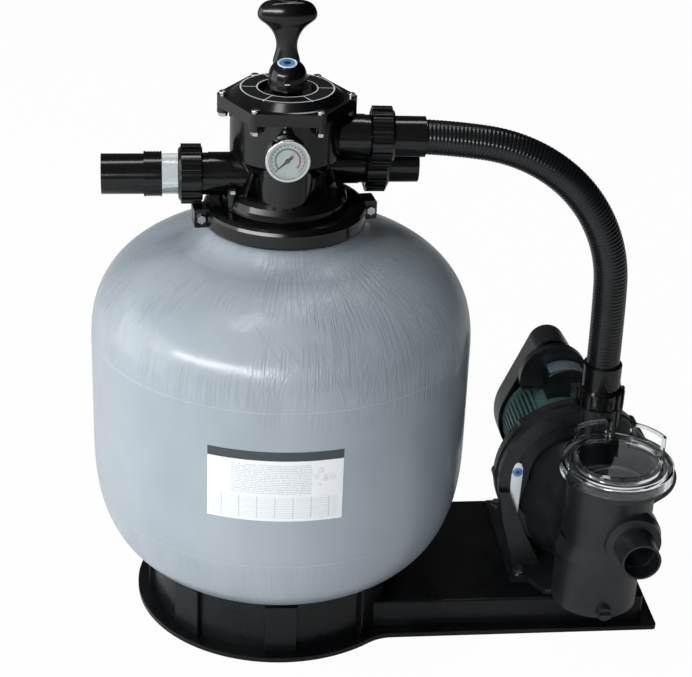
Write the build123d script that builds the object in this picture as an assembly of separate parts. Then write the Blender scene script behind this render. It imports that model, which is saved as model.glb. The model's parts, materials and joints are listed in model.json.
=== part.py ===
from build123d import *
from math import cos, pi, radians, sin, tan
import os

# Sand filter set: tank, base, six-position valve, hose and pump. Millimetres, +Z up.
# Everything is laid out about the tank's axis, and moved at the end so that the origin
# lies under the middle of the whole set.

os.makedirs("parts", exist_ok=True)

# --- tank ---
tank_radius = 263.5
tank_wall = 6.0
top_start = 404.8           # where the wall starts to curve in to the top dome
top_rise = 164.0
bottom_start = 269.0        # where it starts to curve in to the bottom dome
bottom_drop = 199.5
neck_bore = 80.0
neck_lip_radius = 100.0
neck_top = 598.0
neck_lip = 8.0
sand_level = 370.0
pipe_radius = 24.5
hub_level = 118.0
lateral_turn = 10.0         # the first of the eight laterals points this far round
label_size = (176.0, 103.0)
label_middle = 321.0
label_turn = -95.5

# --- base ---
base_flange_radius = 204.7
base_half_width = 153.6
base_right = 544.0
base_flange_inset = 18.0
base_flange_height = 7.0
platform_height = 48.0
base_wall = 5.0
drum_radius = 182.0
drum_height = 92.0

# --- valve ---
flange_top = 608.0          # top of the valve's clamped flange
skirt_top = 636.0
seat_level = 686.0
barrel_radius = 75.0
barrel_top = 757.0          # joint between body and lid
lid_turn = -3.0             # the valve's head is turned a little on the tank
clamp_turn = 7.0            # the clamp's lugs are turned a little too
clamp_rim_radius = 110.5
clamp_bolt_circle = 116.0
screw_circle = 84.0
corner_radius = 8.0
dial_top = 771.7
dial_radius = 63.0
dial_hole = 38.5
stem_radius = 9.0
bleed_at = (-72.0, -37.0)
bleed_top = 637.0
handle_radius = 25.0
handle_bottom = 773.0
handle_travel = 5.0
pin_level = 787.0
return_level = 651.2
pump_port_level = 706.5
waste_level = 647.5
waste_offset = 51.0         # the waste port lies this far behind the valve's axis

# --- 1.5 inch unions ---
port_radius = 29.0
port_bore = 20.0
thread_radius = 33.0
nut_radius = 40.0
tail_radius = 27.2
pipe_bore = 24.2            # socket for 1.5 inch pipe
nut_start = 111.0
nut_length = 32.0
tail_seat = 129.0           # where tail and body meet

# --- gauge ---
gauge_centre = (-5.5, 708.0)
gauge_radius = 29.0
gauge_face_at = -101.0

# --- hose ---
hose_radius = 23.5
hose_bore = 19.0
hose_start = 160.0          # along the pump port's axis
hose_end_level = 348.5

# --- pump ---
pump_x = 428.0
pump_z = 197.5
volute_radius = 114.0
volute_front = -55.0
volute_back = -37.0
plate_back = -22.0
motor_front = 5.0
motor_back = 130.0
motor_radius = 66.0
fin_radius = 75.0
shaft_radius = 8.0
hood_radius = 81.0
hood_back = 178.0
hood_top = (-9.0, -111.5)   # centre of the hood's round top, from the pump's axis
hood_top_radius = 28.0
gland_at = (462.0, 90.0, 286.0)
box_top = 308.0
drum_level = 279.0          # middle of the shallow drum behind the terminal box
discharge_at = (454.0, -36.0)
bulge_at = (115.0, 10.0)    # swollen right end of the volute, from the pump's axis
bulge_radius = 38.0
cuff_seat = 328.0            # top of the discharge neck, where the hose cuff seats
foot_thickness = 9.0
rim_bolt_circle = 104.0
drain_level = 72.0
sump_at = (446.0, -145.0)
sump_radius = 60.2
bowl_at = (453.0, -146.0)
bowl_radius = 62.0
bowl_floor = 165.0
bowl_top = 264.0
neck_height = 9.5           # threaded neck above the bowl's collar
ledge_level = 236.0
lid_at = (457.0, -151.0)
lid_radius = 78.3
inlet_at = (475.6, 186.0)
inlet_face = -209.0
inlet_mouth = -257.0

origin_shift = (pump_x + bulge_at[0] + bulge_radius - tank_radius) / 2


# --- shapes used by many pieces ---
def turned(*points):
    """A solid of revolution about Z from an outline of (radius, height) points."""
    return revolve(Plane.XZ * make_face(Polyline(*points, close=True)), Axis.Z)


def ring(outer, inner, low, high):
    return Pos(0, 0, low) * extrude(Circle(outer) - Circle(inner), high - low)


def disc(radius, low, high):
    return Pos(0, 0, low) * extrude(Circle(radius), high - low)


def facing(x, y, z, direction):
    """The place at a point whose own Z runs along a direction."""
    return Plane(origin=(x, y, z), z_dir=direction).location


def forward(x, z):
    """Own Z runs along +Y, own X along +X, at Y = 0."""
    return Plane(origin=(x, 0, z), x_dir=(1, 0, 0), z_dir=(0, 1, 0)).location


def save(shape, node):
    export_step(Pos(-origin_shift, 0, 0) * shape, f"parts/{node}.step")


# --- tank ---
def dome_arc(radius, rise, start, round_out, round_up, steps=8):
    """Points of a flattened dome, from its edge to its pole."""
    points = []
    for step in range(steps + 1):
        angle = radians(90 * step / steps)
        r = radius * cos(angle) ** (2 / round_out)
        z = start + rise * sin(angle) ** (2 / round_up)
        points.append((r if step < steps else 0, z))
    return points


def tank_body(skin):
    """The tank's solid shape, shrunk by a skin."""
    radius = tank_radius - skin
    top = dome_arc(radius, top_rise - skin, top_start, 2.82, 2.68)
    bottom = dome_arc(radius, skin - bottom_drop, bottom_start, 4.42, 2.68)
    top_edge = Spline(*top, tangents=((0, 1), (-1, 0)))
    bottom_edge = Spline(*bottom, tangents=((0, -1), (-1, 0)))
    side = Line(bottom[0], top[0])
    axis = Line(bottom[-1], top[-1])
    return revolve(Plane.XZ * make_face([top_edge, bottom_edge, side, axis]), Axis.Z)


def make_tank():
    neck = disc(88, 552, neck_top - neck_lip) + disc(neck_lip_radius, neck_top - neck_lip, neck_top)
    bore = disc(neck_bore, 540, neck_top + 1)
    return tank_body(0) + neck - tank_body(tank_wall) - bore


def make_laterals():
    """Eight slotted tubes that reach out from the hub."""
    tube = ring(9, 7, 47, 195) + disc(9, 193, 197)
    slots = [Pos(0, 0, at) * Box(30, 8, 1.2) for at in range(65, 190, 12)]
    tube = tube - slots
    turn = facing(0, 0, hub_level, (1, 0, 0))
    return [Rot(0, 0, 45 * i + lateral_turn) * turn * tube for i in range(8)]


def make_hub():
    hub = ring(47, 20, hub_level - 16, hub_level + 16) + ring(33, 24.8, hub_level + 16, hub_level + 40)
    socket = facing(0, 0, hub_level, (1, 0, 0)) * disc(5, 18, 50)
    return hub - [Rot(0, 0, 45 * i + lateral_turn) * socket for i in range(8)]


def make_sand():
    """The sand fills the tank up to its level, round the pipework."""
    inside = tank_body(tank_wall + 0.3) - Pos(0, 0, sand_level + 150) * Box(600, 600, 300)
    core = disc(47.3, hub_level - 16.3, hub_level + 16.3) + disc(33.3, hub_level, hub_level + 40.3)
    core = core + disc(pipe_radius + 0.3, hub_level, sand_level + 1)
    arm = facing(0, 0, hub_level, (1, 0, 0)) * disc(9.3, 40, 198)
    return inside - core - [Rot(0, 0, 45 * i + lateral_turn) * arm for i in range(8)]


def make_label():
    """A printed sheet on the front of the tank."""
    width, height = label_size
    skin = ring(tank_radius + 0.5, tank_radius, label_middle - height / 2, label_middle + height / 2)
    window = Rot(0, 0, label_turn) * Pos(tank_radius, 0, label_middle) * Box(80, width, height)
    return skin & window


# --- base ---
def base_outline():
    """The round pedestal and the platform in plan, with a hollow blend between them."""
    plan = Circle(base_flange_radius) + Pos(base_right / 2, 0) * Rectangle(base_right, 2 * base_half_width)
    plan = fillet([v for v in plan.vertices() if 60 < v.X < 300], 60)
    return fillet([v for v in plan.vertices() if v.X > 500], 6)


def make_base():
    """A hollow pedestal ring for the tank, joined to a hollow platform for the pump."""
    length = base_right - base_flange_inset
    half = base_half_width - base_flange_inset
    platform = Pos(length / 2, 0, platform_height / 2) * Box(length, 2 * half, platform_height)
    platform = fillet(platform.edges().filter_by(Axis.Z).sort_by(Axis.X)[-2:], 8)
    platform = fillet(platform.faces().sort_by(Axis.Z)[-1].edges(), 4)
    buttress = Pos(drum_radius, 0, 43.5) * Box(12, 46, 73)
    buttress = fillet(buttress.edges().filter_by(Axis.Z), 2)
    base = extrude(base_outline(), base_flange_height) + platform + disc(drum_radius, 0, drum_height)
    base = base + [Rot(0, 0, 313 - 45 * i) * buttress for i in range(6)]
    roof = platform_height - base_wall
    cell = Pos(length / 2, 0, roof / 2 - 1) * Box(length - 2 * base_wall, 2 * (half - base_wall), roof + 2)
    base = base - (cell - disc(drum_radius, -3, drum_height))
    base = base - disc(drum_radius - 6, -1, drum_height + 1) - tank_body(0)
    return base - [Pos(x, y, platform_height) * Cylinder(4.2, 20) for x, y in foot_bolt_places()]


# --- valve ---
def hexagon(height):
    """The six-cornered flange with a rounded corner round each screw."""
    apothem = screw_circle * cos(pi / 6) + corner_radius
    plan = RegularPolygon(apothem / cos(pi / 6), 6)
    plan = fillet(plan.vertices(), corner_radius)
    return extrude(plan, height)


def round_the_screws(shape):
    return [Rot(0, 0, 60 * i) * Pos(screw_circle, 0, 0) * shape for i in range(6)]


def port_place(kind):
    """Where a port's own axis starts, with Z running out along the port."""
    if kind == "return":
        return facing(0, 0, return_level, (-1, 0, 0))
    if kind == "waste":
        return facing(0, waste_offset, waste_level, (1, 0, 0))
    angle = radians(lid_turn)
    return facing(0, 0, pump_port_level, (cos(angle), sin(angle), 0))


def port_blank():
    """Outside of a port: pipe, shoulder and thread."""
    return disc(port_radius, 12, 103) + disc(port_radius - 1, 102, 113) + disc(thread_radius, 112, tail_seat)


def valve_chambers():
    """Hollows of the valve body: upper chamber, lower chamber and the pipe socket in the middle."""
    hollow = disc(68, seat_level, barrel_top + 1)
    hollow = hollow + ring(72, 30, neck_top - 1, 626) + ring(50, 30, 620, seat_level - 6)
    hollow = hollow + disc(pipe_radius + 0.2, neck_top - 1, 640) + disc(port_bore, 639, seat_level + 1)
    hollow = hollow + [Rot(0, 0, 60 * i + 30) * Pos(44, 0, seat_level) * Box(28, 14, 20) for i in range(6)]
    for kind, start in (("return", 40), ("pump", 40), ("waste", 17)):
        groove = ring(28, 23, tail_seat - 3, tail_seat + 1)
        hollow = hollow + port_place(kind) * (disc(port_bore, start, tail_seat + 1) + groove)
    return hollow


def make_valve_body():
    shell = turned(
        (0, neck_top), (neck_lip_radius, neck_top), (neck_lip_radius, flange_top), (86, flange_top),
        (84, 622), (81, 629), (76, 634), (70, skirt_top), (55, skirt_top + 3), (55, 660),
        (barrel_radius, 684), (barrel_radius, barrel_top), (0, barrel_top),
    )
    column = Pos(-3.5, -42, 624) * extrude(Circle(36), barrel_top - 630)
    head = Pos(0, 0, barrel_top - 12) * hexagon(12)
    head = head + round_the_screws(disc(corner_radius, 736.5, barrel_top))
    head = head + round_the_screws(Pos(-19, 0, 741) * Box(22, 7, 20))
    fin = make_face(Polyline((50, 612), (81, 612), (58, 668), (50, 668), close=True))
    fin = extrude(Plane.XZ * fin, 2.5, both=True)
    body = shell + column + Rot(0, 0, lid_turn) * head
    body = body + [port_place(kind) * port_blank() for kind in ("return", "pump", "waste")]
    body = body + [Rot(0, 0, angle) * fin for angle in (-38, -12, 14, 166, 198, 218)]
    body = body + Pos(*bleed_at, 606) * extrude(Circle(7), bleed_top - 606)
    body = body - valve_chambers() + ring(neck_bore - 0.4, 72, 574, neck_top + 1)
    body = body - ring(93, 86, neck_top - 1, neck_top + 5)
    body = body - Rot(0, 0, lid_turn) * Compound(children=round_the_screws(disc(3.2, 730, 760)))
    body = body - forward(*gauge_centre) * disc(6.6, -90, -60)
    return body - Pos(*bleed_at, 0) * disc(3.1, 614, bleed_top + 1)


def make_valve_lid():
    """Six-cornered cover: a sealed spigot below, a cone and a ring for the dial above."""
    lid = turned(
        (stem_radius + 0.1, 752), (15, 752), (15, 761), (34, 761), (40, 766.5), (59, 766.5), (62.5, 763),
        (62.5, 750.5), (67.7, 750.5), (67.7, barrel_top), (77, barrel_top), (77, 761.5), (75, 762.5),
        (dial_radius + 1, dial_top - 1), (dial_hole - 0.5, dial_top - 1), (dial_hole - 0.5, 765),
        (stem_radius + 0.1, 765),
    )
    plate = Pos(0, 0, barrel_top) * hexagon(4.5) - disc(70, 750, 770)
    lid = lid + plate - ring(68, 65.2, 752.7, 755.7)
    return Rot(0, 0, lid_turn) * (lid - round_the_screws(disc(3.2, 730, 780)))


def make_bleed_screw():
    head = Pos(0, 0, bleed_top + 0.3) * extrude(RegularPolygon(6, 6), 5)
    return Pos(*bleed_at, 0) * (disc(3, 618, bleed_top + 1) + head)


def make_lid_fasteners():
    """Six screws; five have nuts, the one over the pump port is tapped into the body."""
    head = disc(5.5, 761.5, 765.5)
    head = fillet(head.edges().sort_by(Axis.Z)[-1], 1.5) - Pos(0, 0, 765) * (Box(7, 1.2, 2) + Box(1.2, 7, 2))
    screw = disc(3.0, 730.3, 762) + head
    nut = Pos(0, 0, 731.4) * extrude(RegularPolygon(6.4, 6) - Circle(3.05), 5)
    return [Rot(0, 0, lid_turn) * piece for piece in round_the_screws(screw) + round_the_screws(nut)[1:]]


def make_rotor():
    """Diverter: a disc with a crossover hood, on a stem that comes up through the lid."""
    low = seat_level + 2.5
    rotor = disc(60, low, low + 9) + disc(stem_radius, low, 797)
    hood = Pos(34, 0, low + 8) * extrude(Rectangle(40, 44), 18)
    hood = Rot(0, 0, 25) * fillet(hood.faces().sort_by(Axis.Z)[-1].edges(), 6)
    ribs = [Rot(0, 0, 90 * i) * Pos(20, 0, low + 14) * Box(30, 4, 12) for i in range(4)]
    window = Rot(0, 0, 205) * Pos(42, 0, seat_level) * Box(22, 18, 60)
    slot = Pos(0, 0, pin_level - handle_travel / 2) * Box(40, 5.2, 5.2 + handle_travel)
    return rotor + hood + ribs - window - slot


def make_spider_gasket():
    """Rubber wheel between the diverter and its seat."""
    spokes = [Rot(0, 0, 60 * i) * Pos(41, 0, seat_level + 1.1) * Box(42, 5, 2.2) for i in range(6)]
    return ring(66, 59.5, seat_level, seat_level + 2.2) + ring(24, 20, seat_level, seat_level + 2.2) + spokes


def make_handle():
    """Tee handle: a domed hub round the stem, a waisted neck and a crowned bar."""
    hub = turned(
        (0, handle_bottom), (handle_radius + 1, handle_bottom), (handle_radius, handle_bottom + 4),
        (handle_radius, pin_level), (handle_radius - 1.6, 793.5), (handle_radius - 5.4, 800),
        (handle_radius - 10, 804), (handle_radius - 15, 806.2), (0, 807),
    )
    sections = (
        (800, 15, 12.5), (822, 14, 11.5), (838, 16, 12), (848, 21.5, 13.2), (856, 30, 15), (861.5, 36.6, 16.4),
        (866, 38.6, 17), (872, 38, 16.6), (878, 35, 15.2), (883.5, 28, 12.4), (888, 15, 8),
    )
    bar = loft([Pos(-1.5, 8, z) * Ellipse(wide, deep) for z, wide, deep in sections])
    pocket = disc(19, handle_bottom - 1, 783.6)
    bore = disc(stem_radius + 0.08, handle_bottom - 1, 803)
    pin_hole = Pos(0, 0, pin_level) * Rot(0, 90, 0) * Cylinder(2.5, 60)
    return hub + bar - pocket - bore - pin_hole


def make_spring():
    """Coil spring between the collar and the roof of the handle's pocket."""
    low, high, coil, wire = 768.5, 782.3, 15.5, 1.0
    path = Helix((high - low) / 3, high - low, coil)
    profile = Plane(origin=path @ 0, z_dir=path % 0) * Circle(wire)
    return Pos(0, 0, low) * sweep(profile, path)


# --- gauge, built along -Y ---
def make_gauge_case():
    place = forward(*gauge_centre)
    back = gauge_face_at + 3
    case = disc(gauge_radius - 2, back - 1, -81) + disc(gauge_radius, gauge_face_at - 5, gauge_face_at + 5)
    case = fillet(case.edges().filter_by(GeomType.CIRCLE).sort_by(Axis.Z)[0], 1.6)
    case = case - disc(gauge_radius - 4, gauge_face_at - 6, gauge_face_at)
    case = case + disc(0.75, gauge_face_at - 3, gauge_face_at)
    stem = disc(6.5, -82, -62) + Pos(0, 0, -82) * extrude(RegularPolygon(9.5, 6), 3)
    return place * (case + stem)


def make_needle():
    blade = Polyline((-1.6, 0), (-0.4, 21), (0.4, 21), (1.6, 0), (1.4, -9), (-1.4, -9), close=True)
    needle = extrude(make_face(blade), 0.6) + disc(3, 0, 1.2)
    needle = Rot(0, 0, 48) * needle - disc(0.85, -1, 2)
    return forward(*gauge_centre) * Pos(0, 0, gauge_face_at - 2.6) * needle


# --- unions ---
def make_nut(radius=nut_radius, length=nut_length, bore=thread_radius + 0.4, lip=28.2, ribs=16):
    """A ribbed union nut that turns on its thread, from z = 0."""
    body = turned(
        (bore, 0), (radius - 5, 0), (radius - 2.6, 2.4), (radius - 2.6, length - 4), (radius - 7, length),
        (lip, length), (lip, length - 9), (bore, length - 9),
    )
    depth = radius - bore - 0.8
    rib = Pos(radius - depth / 2, 0, length / 2 - 1) * Box(depth, 7.6, length - 5)
    rib = fillet(rib.edges().filter_by(Axis.Z), 1.5)
    return body + [Rot(0, 0, 360 / ribs * i) * rib for i in range(ribs)]


def make_tail(mouth, socket):
    """A tailpiece: flange under the nut, then a socket for 1.5 inch pipe."""
    tail = disc(31.5, tail_seat, tail_seat + 4) + disc(tail_radius, tail_seat, mouth)
    return tail - disc(port_bore, tail_seat - 1, mouth + 1) - disc(pipe_bore, socket, mouth + 1)


def make_sight_glass():
    glass = disc(31.5, tail_seat, tail_seat + 4) + disc(26.9, tail_seat, 172)
    return port_place("return") * (glass - disc(22.5, tail_seat - 1, 173))


def make_sight_collar():
    collar = ring(30, 26.95, 164.5, 188.5) + ring(27, 22, 172, 174)
    groove = [ring(31, 29.2, 167 + 4 * i, 169 + 4 * i) for i in range(5)]
    return port_place("return") * (collar - groove)


# --- hose ---
def hose_route():
    """Route of the hose, from its seat in the valve's tailpiece to its seat in the pump's cuff."""
    angle = radians(lid_turn)
    start = (hose_start * cos(angle), hose_start * sin(angle), pump_port_level)
    bend = (212 * cos(angle), 212 * sin(angle), pump_port_level)
    x, y = discharge_at
    arch = [(315, -22.6, 695), (400, -30.6, 640), (449.5, -35.6, 551)]
    return [start, bend] + arch + [(x, y, 448), (x, y, hose_end_level)]


def make_hose():
    route = [Vector(*point) for point in hose_route()]
    radii = []
    for before, here, after in zip(route, route[1:], route[2:]):
        arriving, leaving = here - before, after - here
        half_turn = radians(arriving.get_angle(leaving)) / 2
        radii.append(0.45 * min(arriving.length, leaving.length) / tan(half_turn))
    print("hose radii:", [round(r) for r in radii], "diameter:", 2 * hose_radius)
    path = FilletPolyline(*route, radius=radii)
    section = Plane(origin=path @ 0, z_dir=path % 0) * (Circle(hose_radius) - Circle(hose_bore))
    tube = sweep(section, path)
    share = tube.volume / section.area / path.length
    print("hose length:", round(path.length, 1), "volume ratio:", round(share, 4))
    return tube


def make_cuff():
    """Cuff at the pump end of the hose, held by the discharge nut."""
    cuff = disc(30, cuff_seat, cuff_seat + 5) + disc(27.5, cuff_seat, 377)
    return Pos(*discharge_at, 0) * (cuff - disc(hose_bore, 300, 400) - disc(24, hose_end_level, 400))


# --- pump ---
def foot_bolt_places():
    return [(350, -79), (350, 105), (506, -79), (506, 105)]


def pump_place():
    """Own Z runs along +Y from Y = 0 on the pump's axis, own Y runs down."""
    return forward(pump_x, pump_z)


def make_leg(side):
    """A leg from the volute's rim down to the foot."""
    low = platform_height + foot_thickness - pump_z
    outline = Polyline((112, -15), (105, -61), (84, low), (42, low), (72, -80), (98, -15), close=True)
    leg = extrude(Plane.XZ * make_face(outline), 12, both=True)
    leg = leg if side > 0 else mirror(leg, Plane.YZ)
    return Pos(pump_x, volute_front + 4, pump_z) * leg


def pump_nose():
    """The volute's raised front, which narrows towards the pot: round above, wider below."""
    sections = []
    for at, upper_x, upper, lower in ((volute_front + 10, 0, 67, 99), (volute_front - 42, 9, 46, 66)):
        circles = Circle(lower).moved(Pos(21, 47.5)).edges() + Circle(upper).moved(Pos(upper_x, 0)).edges()
        sections.append(Pos(0, 0, at) * make_hull(circles))
    nose = loft(sections, ruled=True)
    return nose & Pos(-20, -7.5, volute_front) * Box(190, 270, 120)


def pump_outside():
    """Volute with its bulge, nose, pot, inlet boss, discharge neck and legs, all solid."""
    place = pump_place()
    volute = disc(volute_radius, volute_front, volute_back) - disc(92, volute_front - 1, volute_front + 9)
    bulge = make_hull(Circle(volute_radius - 2).edges() + Circle(bulge_radius).moved(Pos(*bulge_at)).edges())
    bulge = Pos(0, 0, volute_front + 9) * extrude(bulge, volute_back - volute_front - 9)
    sump = Pos(*sump_at, 0) * disc(sump_radius, 60, 141.5)
    band_low = Pos(*sump_at, 141) * Circle(sump_radius + 1.4)
    band = loft([band_low, Pos(*bowl_at, bowl_floor) * Circle(bowl_radius)])
    bowl = band + Pos(*bowl_at, 0) * disc(bowl_radius, bowl_floor, bowl_top)
    neck = disc(71, bowl_top - 8, bowl_top) + disc(68, bowl_top - 1, bowl_top + neck_height)
    neck = Pos(*lid_at, 0) * neck
    inlet = turned((0, 0), (39, 0), (40.5, 6), (43, 14), (43, 34), (0, 34))
    inlet = facing(inlet_at[0], inlet_face, inlet_at[1], (0, 1, 0)) * inlet
    ribs = [Rot(0, 0, 24 * i) * Pos(33.5, 0, 300) * Box(3, 6, 26) for i in range(15)]
    outlet = disc(30, pump_z + 60, 314.3) + disc(33.5, 286, 314.3) + ribs
    outlet = Pos(*discharge_at, 0) * outlet - place * disc(volute_radius + 10, volute_back, 20)
    outlet = outlet + Pos(*discharge_at, 0) * disc(30, 314, cuff_seat)
    lid_room = Pos(*lid_at, 0) * disc(lid_radius + 1.2, bowl_top + 0.5, 316)
    rear = place * (volute + bulge + pump_nose()) + outlet - lid_room
    return rear + sump + bowl + neck + inlet + make_leg(-1) + make_leg(1)


def pump_water_ways():
    place = pump_place()
    x, y = discharge_at
    basket_room = disc(53, bowl_floor, bowl_top + 20) + disc(57, ledge_level, bowl_top + 20)
    pot = Pos(*sump_at, 0) * disc(55.5, 64, bowl_floor + 2) + Pos(*bowl_at, 0) * basket_room
    impeller_room = disc(68, volute_front + 5, volute_back + 1) + disc(20, volute_front - 45, volute_front + 6)
    impeller_room = place * impeller_room
    inlet = facing(inlet_at[0], inlet_face, inlet_at[1], (0, 1, 0)) * disc(22, -1, 60)
    throat = Pos(x, y - 15, 290) * Box(30, 17, 56) + Pos(x, y, 0) * disc(port_bore - 1, 314, cuff_seat + 1)
    throat = throat + forward(x, 258) * disc(24, volute_front + 5, volute_back + 1)
    return pot + impeller_room + inlet + throat


def make_pump_housing():
    plug = facing(sump_at[0], sump_at[1] - sump_radius, drain_level, (0, -1, 0))
    housing = pump_outside() - pump_water_ways()
    housing = housing + plug * disc(11, -4, 4) - plug * disc(6.2, -12, 5)
    bolts = [pump_place() * hole for hole in round_the_rim(disc(3.1, volute_front + 6, plate_back + 1))]
    return housing - bolts


def round_the_rim(shape):
    """Eight bolts round the volute's rim."""
    return [Rot(0, 0, 45 * i) * Pos(rim_bolt_circle, 0, 0) * shape for i in range(8)]


def make_seal_plate():
    """Closes the volute and carries the motor on a cone."""
    plate = disc(volute_radius + 2, volute_back, plate_back)
    lug = Pos(110, 0, 0) * disc(9, volute_back, plate_back)
    lugs = [Rot(0, 0, 45 * i) * lug for i in range(8) if i != 6]
    cone = turned(
        (58, plate_back), (98, plate_back), (80, -2), (fin_radius + 1, -2), (fin_radius + 1, motor_front),
        (fin_radius - 6, motor_front), (fin_radius - 6, -4),
    )
    plate = plate + lugs + cone
    plate = plate + ring(24, 14.2, plate_back - 1, plate_back + 8)
    plate = plate - disc(14.2, volute_back - 1, plate_back + 9)
    window = Rot(0, 0, 45) * Pos(84, 0, -10) * Box(40, 30, 12)
    plate = plate - [Rot(0, 0, 90 * i) * window for i in range(4)]
    return pump_place() * (plate - round_the_rim(disc(3.1, volute_back - 1, plate_back + 1)))


def make_housing_bolts():
    head = Pos(0, 0, plate_back) * extrude(RegularPolygon(5.8, 6), 4)
    return [pump_place() * bolt for bolt in round_the_rim(disc(3.0, volute_front + 7, plate_back + 1) + head)]


def make_impeller():
    blade = Pos(36, 0, -42) * Rot(0, 0, 32) * Box(38, 3, 8)
    wheel = disc(60, -40, -37.4) + disc(16, -48, -38) + [Rot(0, 0, 72 * i) * blade for i in range(5)]
    wheel = wheel + ring(60, 21, -47.5, -45.5)
    return pump_place() * (wheel - disc(shaft_radius, -60, -30))


def make_motor_housing():
    """Finned tube with a closed rear end that holds the rear bearing."""
    fin = Pos((motor_radius + fin_radius) / 2 - 0.5, 0) * Rectangle(fin_radius - motor_radius + 1, 2.4)
    plan = Circle(motor_radius) + [Rot(0, 0, 306 + 6 * i) * fin for i in range(49)]
    plan = plan - Circle(motor_radius - 6)
    tube = Pos(0, 0, motor_front) * extrude(plan, motor_back - 12 - motor_front)
    end = ring(fin_radius, 20.05, motor_back - 12, motor_back)
    front = ring(motor_radius - 1, 20.05, motor_front, motor_front + 6)
    return pump_place() * (tube + end + front)


def make_bearings():
    race = ring(20, shaft_radius + 0.05, 0, 12) - ring(17, 12, -1, 2) - ring(17, 12, 10, 13)
    return [pump_place() * Pos(0, 0, at) * race for at in (motor_front, motor_back - 12)]


def make_shaft():
    shaft = disc(shaft_radius, -54, motor_back + 32) + disc(11, motor_front + 13, motor_back - 14)
    shaft = shaft + Pos(0, 0, -54) * extrude(RegularPolygon(10, 6), 5.9)
    return pump_place() * shaft


def make_fan():
    blade = Pos(39, 0, motor_back + 18) * Box(50, 2.5, 20)
    fan = ring(17, shaft_radius, motor_back + 7, motor_back + 28)
    fan = fan + ring(64, 16, motor_back + 7, motor_back + 9)
    return pump_place() * (fan + [Rot(0, 0, 45 * i) * blade for i in range(8)])


def hood_outline(inset):
    """Round the fan, drawn up to a smaller round top that leans a little to the left."""
    top = Pos(*hood_top) * Circle(hood_top_radius - inset)
    round_part = Circle(hood_radius - inset)
    return make_hull(top.edges() + round_part.edges())


def make_fan_cover():
    depth = hood_back - motor_back
    shell = Pos(0, 0, motor_back) * extrude(hood_outline(0), depth)
    shell = fillet(shell.faces().sort_by(Axis.Z)[-1].edges(), 9)
    shell = shell - Pos(0, 0, motor_back - 1) * extrude(hood_outline(3), depth - 3)
    slots = []
    for count, radius in ((8, 24), (12, 40)):
        slot = Pos(radius, 0, hood_back - 2) * Box(11, 5, 10)
        slots += [Rot(0, 0, 360 / count * i) * slot for i in range(count)]
    tabs = [Rot(0, 0, a) * Pos(77, 0, motor_back + 4) * Box(4.5, 12, 8) for a in (0, 90, 180)]
    tube = Pos(*hood_top) * ring(hood_top_radius, hood_top_radius - 3, 120.5, motor_back + 1)
    return pump_place() * (shell - slots + tabs + tube)


def make_terminal_box():
    """Arched box on top of the motor, in front of a shallow drum with a raised rim."""
    flat = Pos(0, -130) * Rectangle(200, 135)
    drum_at = Pos(-6, pump_z - drum_level)
    drum = Pos(0, 0, 106) * extrude(drum_at * Circle(52) & flat, 14)
    drum = drum - Pos(0, 0, 105) * extrude(drum_at * Circle(47) & Pos(0, -133) * Rectangle(200, 135), 4)
    arch = Pos(6, pump_z - box_top + 53) * Circle(53) & Pos(6, -88) * Rectangle(56, 51)
    box = Pos(0, 0, 74) * extrude(arch, 35)
    box = fillet(box.faces().sort_by(Axis.Z)[0].edges().sort_by(Axis.Y)[:2], 3)
    groove = Pos(0, 0, 80) * (extrude(Rectangle(200, 300), 1.6) - extrude(offset(arch, -1.2), 1.6))
    motor = disc(motor_radius, 0, 200) + disc(fin_radius, motor_back - 12, 200)
    body = pump_place() * (drum + box - groove - motor)
    return body - facing(*gland_at, (1, 0, 0)) * disc(6.2, -8, 2)


def make_gland():
    """Screwed gland where the mains cable leaves the terminal box."""
    body = disc(6.1, -8, 0.2) + Pos(0, 0, 0.1) * extrude(RegularPolygon(9, 6), 4) + disc(7.6, 4, 13)
    return facing(*gland_at, (1, 0, 0)) * (body - disc(3.5, -9, 14))


def make_foot():
    """Foot under the pump: a plate with tabs for four bolts and a saddle for the motor."""
    plate = Polyline(
        (336, -95), (362, -95), (380, -127), (516, -127), (522, -95), (522, 120), (336, 120), close=True,
    )
    top = platform_height + foot_thickness
    foot = Pos(0, 0, platform_height) * extrude(make_face(plate), foot_thickness)
    foot = foot + Pos(pump_x, 60, top + 35) * Box(92, 46, 70) - pump_place() * disc(fin_radius + 0.05, 0, 140)
    return foot - [Pos(x, y, platform_height) * Cylinder(4.2, 40) for x, y in foot_bolt_places()]


def make_foot_bolts():
    top = platform_height + foot_thickness
    bolt = disc(3.8, 36, top + 3) + disc(9, top, top + 2)
    bolt = bolt + Pos(0, 0, top + 2) * extrude(RegularPolygon(7.5, 6), 6)
    return [Pos(x, y, 0) * bolt for x, y in foot_bolt_places()]


# --- strainer ---
def make_strainer_lid():
    """Clear lid: skirt, domed top and two upright grips near the back of its rim."""
    lid = turned(
        (68.4, 266), (lid_radius - 1.5, 266), (lid_radius, 267.5), (lid_radius, 283.5), (lid_radius - 2.5, 286),
        (66, 287.4), (60.5, 288.6), (56, 290.6), (0, 292.5), (0, 288.5), (54, 286.4), (60, 283),
        (61.5, 277.6), (68.4, 277.6),
    )
    lid = lid + [Rot(0, 0, 30 * i) * Pos(lid_radius - 0.4, 0, 275) * Box(2, 2.4, 14) for i in range(12)]
    for angle in (108, 39):
        grip = Pos(73.5, 0, 293.5) * Box(30, 58, 29) - Pos(73.5, 0, 296) * Box(31, 46, 16)
        lid = lid + (ring(76, 71, 279, 308) & Rot(0, 0, angle) * grip)
    return Pos(*lid_at, 0) * lid


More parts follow.
